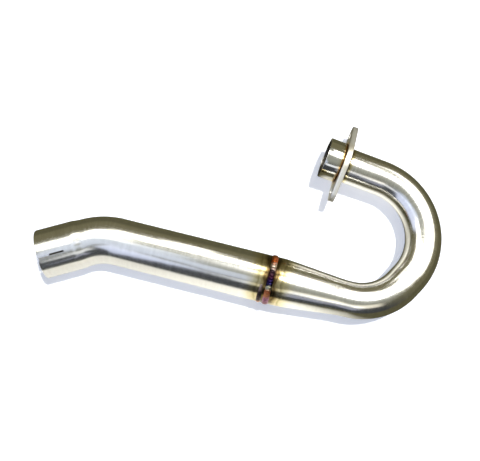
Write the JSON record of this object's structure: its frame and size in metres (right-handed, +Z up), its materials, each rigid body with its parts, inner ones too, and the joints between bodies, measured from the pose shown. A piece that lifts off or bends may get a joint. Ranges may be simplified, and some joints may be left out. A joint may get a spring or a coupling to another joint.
{
  "type": "motorcycle exhaust header",
  "caption": "Welded stainless exhaust header pipe with a U-bend, turned port collar, oval stud flange and slotted slip socket.",
  "frame": {"origin": "centre of the bounding box's footprint, at the level of the bench the header lies on", "axes": "+X along the rear tube's long straight toward the U-bend, +Y toward the port end, +Z up from the bench"},
  "size_m": [0.4238, 0.2435, 0.0543],
  "materials": {
    "tube_steel": "satin brushed stainless, heat-tinted straw and brown beside the welds",
    "turned_steel": "fine turned stainless",
    "plate_steel": "satin cut stainless plate",
    "weld_metal": "rippled weld bead with copper, purple and blue heat colours"
  },
  "bodies": {
    "root": {"port_collar": "turned_steel", "collar_weld": "weld_metal", "flange_plate": "plate_steel", "flange_weld": "weld_metal", "front_tube": "tube_steel", "middle_weld": "weld_metal", "second_weld_run": "weld_metal", "rear_tube": "tube_steel"}
  },
  "joints": []
}
